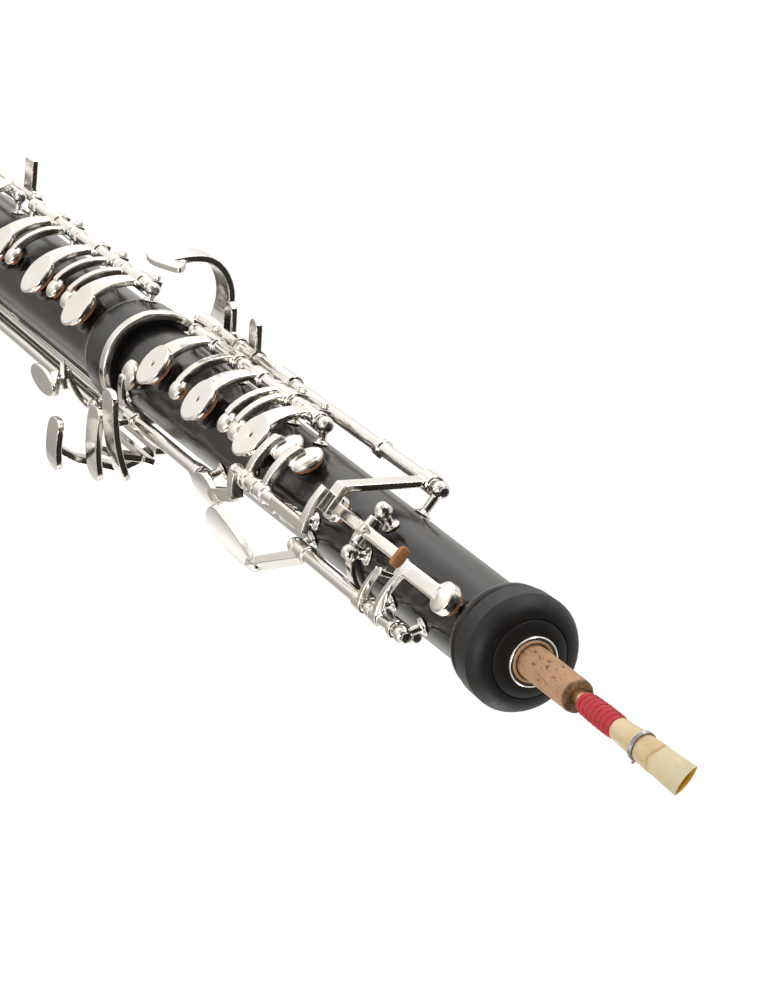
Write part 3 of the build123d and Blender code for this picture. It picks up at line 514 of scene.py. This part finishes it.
def reed_thread_piece():
    """Silk wound on in close turns, with a second loose pass across it."""
    def core(height):
        if height < 24:
            return 2.15 + 0.25 * (height - 23)
        return 2.4 + 0.15 * math.sin(math.pi * min(1.0, (height - 24) / 14)) + 0.1 * (height - 24) / 13.5

    batch = Batch()
    thick = 0.17
    turns, steps = 43, 44
    path = []
    for i in range(turns * steps + 1):
        turn = i / steps
        height = 23.18 + 14.1 * turn / turns
        wobble = 0.05 * noise.noise(Vector((turn * 0.9, 1.7, 0)))
        wobble += 0.03 * noise.noise(Vector((turn * 7, 0, 5)))
        r = core(height) - thick + wobble
        height += 0.06 * noise.noise(Vector((turn * 2.3, 8, 1)))
        path.append(round_reed(2 * math.pi * turn, r, height))
    batch.take(tube_along(path, thick * MM, 7))
    cross = []
    cross_turns, cross_steps = 7, 60
    for i in range(cross_turns * cross_steps):
        turn = i / cross_steps
        height = 24.2 + 12.4 * turn / cross_turns
        r = core(height) + 0.02 + 0.03 * noise.noise(Vector((turn * 4, 2, 2)))
        cross.append(round_reed(-2 * math.pi * turn + 1.0, r, height))
    batch.take(tube_along(cross, 0.1 * MM, 6))
    under = []
    for k in range(30):
        height = 23.1 + 14.3 * k / 29
        under.append([round_reed(a * math.pi / 30, core(height) - 0.25, height) for a in range(60)])
    batch.take(skin(under))
    piece = piece_from("reed_winding", batch.points, batch.faces)
    return finished(piece, "thread", "reed", "reed_thread")


def reed_cane_piece():
    """Two cane blades in one tube of cane: bark, a scraped tip that thins, and the lens-shaped opening."""
    stations = [(CANE_FOOT, 2.45, 2.4, 0.5), (46, 2.9, 2.3, 0.52), (54, 3.25, 1.6, 0.62),
                (CANE_TIP, 3.55, 0.85, 0.8)]

    def section(height):
        """Half width, half depth and the power of the blades' curve at a height."""
        for (h0, a0, b0, p0), (h1, a1, b1, p1) in zip(stations, stations[1:]):
            if height <= h1:
                k = min(max((height - h0) / (h1 - h0), 0), 1)
                return a0 + (a1 - a0) * k, b0 + (b1 - b0) * k, p0 + (p1 - p0) * k
        return stations[-1][1:]

    around, along = 144, 170
    outer, inner = [], []
    for j in range(along + 1):
        height = CANE_FOOT + (CANE_TIP - CANE_FOOT) * j / along
        a, b, power = section(height)
        out_row, in_row = [], []
        for k in range(around):
            turn = 2 * math.pi * k / around
            x = math.cos(turn)
            lift = math.copysign(max(0.0, 1 - x * x) ** power, math.sin(turn))
            ragged = noise.noise(Vector((x * 3, math.copysign(2, lift), 0)))
            scrape_line = 52.6 + 0.5 * x * x + 0.35 * ragged
            scraped = min(max((height - scrape_line) / 0.35, 0), 1)
            fibre = 0.012 * noise.noise(Vector((turn * 22, height * 0.12, 4)))
            cut = (0.10 + 0.02 * noise.noise(Vector((turn * 9, height * 0.9, 1)))) * scraped
            r = 1 - (cut - fibre) / max(a, b)
            tip = 0.05 * noise.noise(Vector((x * 6, 3, math.copysign(1, lift)))) if j == along else 0
            deep = b * lift - math.copysign(cut - fibre, lift) * abs(lift)
            out_row.append(on_reed(a * x * r, deep, height + tip))
            wall = 0.5 - 0.36 * min(max((height - 50) / 13.5, 0), 1)
            in_row.append(on_reed((a - max(wall, 0.2)) * x, max(b - wall, 0.12) * lift, height + tip))
        outer.append(out_row)
        inner.append(in_row)
    points, faces = skin(outer + inner[::-1], True)
    blades = finished(piece_from("reed_blades", points, faces), "cane", "reed", "reed_cane")
    blades.data.materials.append(cane_lining())
    for face in blades.data.polygons:
        if face.index >= (along + 1) * around:
            face.material_index = 1
    return blades


def reed_wire_piece():
    """Three turns of soft wire, pulled tight and twisted off at the side."""
    batch = Batch()
    path = []
    turns, steps = 3, 60
    for i in range(turns * steps + 1):
        turn = i / steps
        angle = 2 * math.pi * turn
        path.append(on_reed(math.cos(angle) * 3.12, math.sin(angle) * 2.54, 45.75 + 0.43 * turn))
    batch.take(tube_along(path, 0.2 * MM, 10))
    for strand in (0, math.pi):
        twist = []
        for i in range(50):
            angle = i * 0.45 + strand
            twist.append(on_reed(2.976 + 0.01344 * i, 0.35 + 0.17 * math.cos(angle),
                                 46.3 + 0.17 * math.sin(angle) + 0.01 * i))
        batch.take(tube_along(twist, 0.16 * MM, 8))
    piece = piece_from("reed_wire_turns", batch.points, batch.faces)
    return finished(piece, "steel", "reed", "reed_wire")


reed_cork_piece()
reed_thread_piece()
reed_cane_piece()
reed_wire_piece()
own_piece = {"reed_cork", "reed_thread", "reed_cane", "reed_wire"}

for name in sorted(nodes):
    if name in own_piece:
        continue
    if slot_for(name) == "silver_plate":
        polished(name)
    else:
        dress(name)


# ---------------------------------------------------------------- small fittings

def at(t, phi, r):
    """A point, from mm below the top of the upper joint, degrees from the front and mm from the bore."""
    turn = math.radians(phi)
    return Vector((math.sin(turn) * r * MM, -math.cos(turn) * r * MM, TOP - t * MM))


def slotted_head(centre, up, radius, height, slot_turn):
    """Domed screw head whose slot runs right across it."""
    up = up.normalized()
    side = up.orthogonal().normalized()
    side.rotate(Quaternion(up, slot_turn))
    other = up.cross(side)
    half = radius * 0.17
    deep = height * 0.55
    made = Batch()
    for sign in (-1, 1):
        rim = []
        steps = 22
        start = math.asin(half / radius)
        for k in range(steps + 1):
            angle = start + (math.pi - 2 * start) * k / steps
            rim.append((math.cos(angle) * radius, sign * math.sin(angle) * radius))
        levels = [(1.0, 0.0), (1.0, 0.62), (0.9, 0.84), (0.7, 0.95), (0.4, 1.0)]
        rows = []
        for scale, lift in levels:
            row = []
            for x, y in rim:
                px = x * scale
                py = sign * max(abs(y) * scale, half)
                row.append(centre + side * px + other * py + up * (lift * height))
            rows.append(row)
        points = [point for row in rows for point in row]
        faces = []
        count = steps + 1
        for level in range(len(rows) - 1):
            for k in range(steps):
                a = level * count + k
                quad = (a, a + 1, a + 1 + count, a + count)
                faces.append(quad if sign > 0 else quad[::-1])
        cap = tuple(range((len(rows) - 1) * count, len(rows) * count))
        faces.append(cap if sign > 0 else cap[::-1])
        wall = tuple(level * count for level in range(len(rows)))
        wall += tuple(level * count + steps for level in reversed(range(len(rows))))
        faces.append(wall if sign < 0 else wall[::-1])
        made.take((points, faces))
    around = 24
    disc = []
    for k in range(around):
        angle = 2 * math.pi * k / around
        spoke = side * math.cos(angle) + other * math.sin(angle)
        disc.append(centre + spoke * radius * 0.98 + up * (height - deep))
    made.take((disc, [tuple(range(around))]))
    return made.points, made.faces


# phi, r, start and end of each hinge rod
UPPER_RODS = [(55, 15.5, 30.4, 93.6), (29, 16.0, 88.7, 129.6), (-62, 16.0, 117.7, 209.9),
              (-88, 17.8, 68.4, 226.1), (60, 16.5, 148.4, 221.6), (130, 15.5, 56.4, 93.6)]
LOWER_RODS = [(-62, 18.6, 242.4, 354.1), (-58, 18.6, 362.4, 411.1), (-86, 18.6, 371.4, 435.6),
              (22, 18.0, 362.4, 393.6), (40, 19.0, 384.4, 463.6), (88, 18.8, 241.4, 475.6),
              (108, 18.8, 241.4, 369.6), (128, 18.8, 241.4, 397.6)]
BELL_RODS = [(40, 21.5, 510.4, 541.6)]


def rod_screws(name, rods, body):
    """A slotted head let into the post at each end of every rod."""
    turn = random.Random(len(rods))
    batch = Batch()
    for phi, r, start, end in rods:
        for t, up in ((start - 0.1, Vector((0, 0, 1))), (end + 0.1, Vector((0, 0, -1)))):
            batch.take(slotted_head(at(t, phi, r), up, 1.2 * MM, 0.75 * MM, turn.uniform(0, 3)))
    piece = piece_from(name, batch.points, batch.faces)
    shaded(piece.data, 35)
    return finished(piece, "steel", body)


rod_screws("upper_rod_screws", UPPER_RODS, "upper_joint")
rod_screws("lower_rod_screws", LOWER_RODS, "lower_joint")
rod_screws("bell_rod_screws", BELL_RODS, "bell")


def needle_springs(name, places, body):
    """Blued needle springs: pinned in a post, bent up to the key's catch."""
    batch = Batch()
    for t, phi, r, length in places:
        path = []
        for k in range(13):
            part = k / 12
            path.append(at(t + length * part, phi + 2.5 * part * part, r - 2.7 + 0.55 * part * part))
        batch.take(tube_along(path, 0.2 * MM, 7))
    return finished(piece_from(name, batch.points, batch.faces), "steel", body)


# t, phi, r and length of each spring; a negative length points up the joint
needle_springs("upper_springs", [
    (32, 55, 15.5, 9), (92, 55, 15.5, -13), (119.3, -62, 16, 9), (136.5, -62, 16, 12), (172.6, -62, 16, 12),
    (150, 60, 16.5, 14), (220, 60, 16.5, -12), (92, 130, 15.5, -12), (90.3, 29, 16, 10),
    (224.5, -88, 17.8, -14),
], "upper_joint")
needle_springs("lower_springs", [
    (244, -62, 18.6, 12), (272.5, -62, 18.6, 12), (312.5, -62, 18.6, 12), (364, -58, 18.6, 12),
    (434, -86, 18.6, -12), (364, 22, 18, 10), (462, 40, 19, -14), (243, 88, 18.8, 14), (243, 108, 18.8, 14),
    (396, 128, 18.8, -14),
], "lower_joint")


def adjusting_screw(name, t, phi, r, body):
    """Knurled adjusting screw standing on a key's lug."""
    batch = Batch()
    out = at(t, phi, 1000) - at(t, phi, 0)
    out.normalize()
    side = Vector((0, 0, 1))
    other = out.cross(side)
    around = 72
    rows = []
    for lift, radius in ((-0.6, 1.0), (0.0, 1.0), (0.05, 1.25), (0.7, 1.25), (0.78, 1.15)):
        row = []
        for k in range(around):
            angle = 2 * math.pi * k / around
            knurl = 0.06 if k % 3 == 0 and 0 < lift < 0.75 else 0.0
            spoke = side * math.cos(angle) + other * math.sin(angle)
            row.append(at(t, phi, r + lift) + spoke * (radius - knurl) * MM)
        rows.append(row)
    batch.take(skin(rows))
    batch.take(slotted_head(at(t, phi, r + 0.7), out, 1.12 * MM, 0.5 * MM, 0.7 + t))
    piece = piece_from(name, batch.points, batch.faces)
    shaded(piece.data, 30)
    return finished(piece, "silver_plate", body)


for name, t, phi, r, body in (
        ("half_hole_screw", 127.5, -70, 18.4, "half_hole_plate"),
        ("second_plate_screw", 141.5, -70, 18.4, "second_plate"),
        ("second_bridge_screw", 153, -72, 17.4, "second_plate"),
        ("third_bridge_screw", 186, -72, 17.4, "third_plate"),
        ("third_plate_screw", 201.5, -70, 18.4, "third_plate"),
        ("fourth_plate_screw", 250.4, -70, 20.6, "fourth_plate"),
        ("fifth_plate_screw", 278.9, -70, 20.6, "fifth_plate"),
        ("sixth_plate_screw", 318.9, -70, 20.6, "sixth_plate"),
        ("seesaw_screw", 58, 0, 17.0, "first_octave_key"),
        ("c_sharp_screw", 381, -86, 20.4, "low_c_sharp_key")):
    adjusting_screw(name, t, phi, r, body)


def cork_strip():
    """Cork wrapped over the end of the first octave key's tail, where it meets the second octave key."""
    def squared(value):
        return math.copysign(abs(value) ** 0.45, value)

    around, along = 48, 14
    corners = []
    for k in range(around):
        angle = 2 * math.pi * k / around
        corners.append((squared(math.cos(angle)) * 2.5, squared(math.sin(angle)) * 1.25))
    rings = []
    for j in range(along + 1):
        t = 40.25 + 1.5 * j / along
        puff = 1.0 - 0.10 * abs(2 * j / along - 1) ** 6
        row = []
        for x, y in corners:
            rub = 0.06 * noise.noise(Vector((x * 1.7, y * 1.7, t)))
            row.append(Vector((x * (puff + rub) * MM, -(15.9 + y * (puff + rub)) * MM, TOP - t * MM)))
        rings.append(row)
    points, faces = skin(rings)
    faces += ends(len(points), around)
    return finished(piece_from("octave_tail_cork", points, faces), "pad_cork", "first_octave_key")


cork_strip()


# ---------------------------------------------------------------- light and floor

def lamp(name, place, width, height, power):
    """A soft rectangular lamp that looks at the upper half of the object."""
    light = bpy.data.lights.new(name, "AREA")
    light.shape = "RECTANGLE"
    light.size = width
    light.size_y = height
    light.energy = power
    thing = bpy.data.objects.new(name, light)
    scene.collection.objects.link(thing)
    thing.location = place
    thing.rotation_mode = "QUATERNION"
    thing.rotation_quaternion = (Vector((0, 0, 0.45)) - Vector(place)).to_track_quat("-Z", "Y")


lamp("key_light", (0.9, -1.2, 1.5), 0.7, 0.7, 7)
lamp("fill_light", (-1.5, -0.5, 1.0), 0.5, 1.4, 6)
lamp("back_light", (1.2, 1.0, 0.7), 0.4, 1.2, 5)

# A pale tent that is dark overhead, with soft folds. The camera itself sees plain white.
world = bpy.data.worlds.new("studio")
scene.world = world
world.use_nodes = True
sky = world.node_tree
aim = sky.nodes.new("ShaderNodeTexCoord").outputs["Generated"]
split = sky.nodes.new("ShaderNodeSeparateXYZ")
sky.links.new(aim, split.inputs[0])
tent = sky.nodes.new("ShaderNodeValToRGB")
sky.links.new(split.outputs["Z"], tent.inputs["Fac"])
fill_ramp(tent.color_ramp, [(0.0, (1, 0.985, 0.96)), (0.34, (0.98, 0.96, 0.93)),
                            (0.56, (0.42, 0.40, 0.37)), (0.72, (0.035, 0.033, 0.03))])
drape = sky.nodes.new("ShaderNodeTexNoise")
sky.links.new(aim, drape.inputs["Vector"])
drape.inputs["Scale"].default_value = 2.2
drape.inputs["Detail"].default_value = 2
folds = sky.nodes.new("ShaderNodeValToRGB")
sky.links.new(drape.outputs["Fac"], folds.inputs["Fac"])
fill_ramp(folds.color_ramp, [(0.40, (0.45, 0.41, 0.36)), (0.60, 1.15)])
both = sky.nodes.new("ShaderNodeMix")
both.data_type = "RGBA"
both.blend_type = "MULTIPLY"
both.inputs["Factor"].default_value = 1
sky.links.new(tent.outputs["Color"], both.inputs[6])
sky.links.new(folds.outputs["Color"], both.inputs[7])
ray = sky.nodes.new("ShaderNodeLightPath")
seen = sky.nodes.new("ShaderNodeMix")
seen.data_type = "RGBA"
sky.links.new(ray.outputs["Is Camera Ray"], seen.inputs["Factor"])
sky.links.new(both.outputs[2], seen.inputs[6])
seen.inputs[7].default_value = (1, 1, 1, 1)
sky.links.new(seen.outputs[2], sky.nodes["Background"].inputs["Color"])
sky.nodes["Background"].inputs["Strength"].default_value = 1.0

# A plain floor that glows: the camera sees it evenly white. Its glow differs round the object, as cards and
# dark flags beside it would make it: painted reflections for the metal and wood.
floor_mesh = bpy.data.meshes.new("floor")
build = bmesh.new()
bmesh.ops.create_grid(build, x_segments=8, y_segments=8, size=4.0)
build.to_mesh(floor_mesh)
build.free()
floor = bpy.data.objects.new("floor", floor_mesh)
scene.collection.objects.link(floor)
floor.location = (0, 0, -0.0002)
n = Nodes("floor")
# Soft patches: they mottle the floor's own dark colour and dim its painted glow in places.
mottle_and_glow_patches = n.noise(1.7, 2, 0.5)
across = n.place_along()
turn = n.math("ARCTAN2", across[0], n.math("MULTIPLY", across[1], -1.0))
turn = n.math("ADD", n.math("DIVIDE", turn, 2 * math.pi), 0.5)
# Painted reflections: the floor's glow as other surfaces see it, bright on some sides of the object and
# dark on others.
tone = n.ramp(turn, (0.0, (0.55, 0.53, 0.50)), (0.14, (0.9, 0.88, 0.85)), (0.30, (1.45, 1.43, 1.40)),
              (0.50, (1.30, 1.28, 1.25)), (0.62, (0.34, 0.32, 0.30)), (0.74, (0.25, 0.235, 0.215)),
              (0.86, (1.1, 1.07, 1.03)), (1.0, (0.55, 0.53, 0.50)))
tone = n.mix(n.ramp(mottle_and_glow_patches, (0.42, 0.0), (0.62, 0.5)), tone, (0.42, 0.39, 0.35))
ray = n.tree.nodes.new("ShaderNodeLightPath")
# Painted glow: the camera sees plain white, and every other ray sees the painted reflections above.
n.put(n.mix(ray.outputs["Is Camera Ray"], tone, (1.0, 1.0, 1.0)), n.shader.inputs["Emission Color"])
n.finish(n.mix(mottle_and_glow_patches, (0.10, 0.10, 0.10), (0.14, 0.14, 0.14)), 0.8, None, emission_strength=1.0)
floor_mesh.materials.append(n.material)

scene.view_settings.view_transform = "Standard"
scene.view_settings.look = "None"
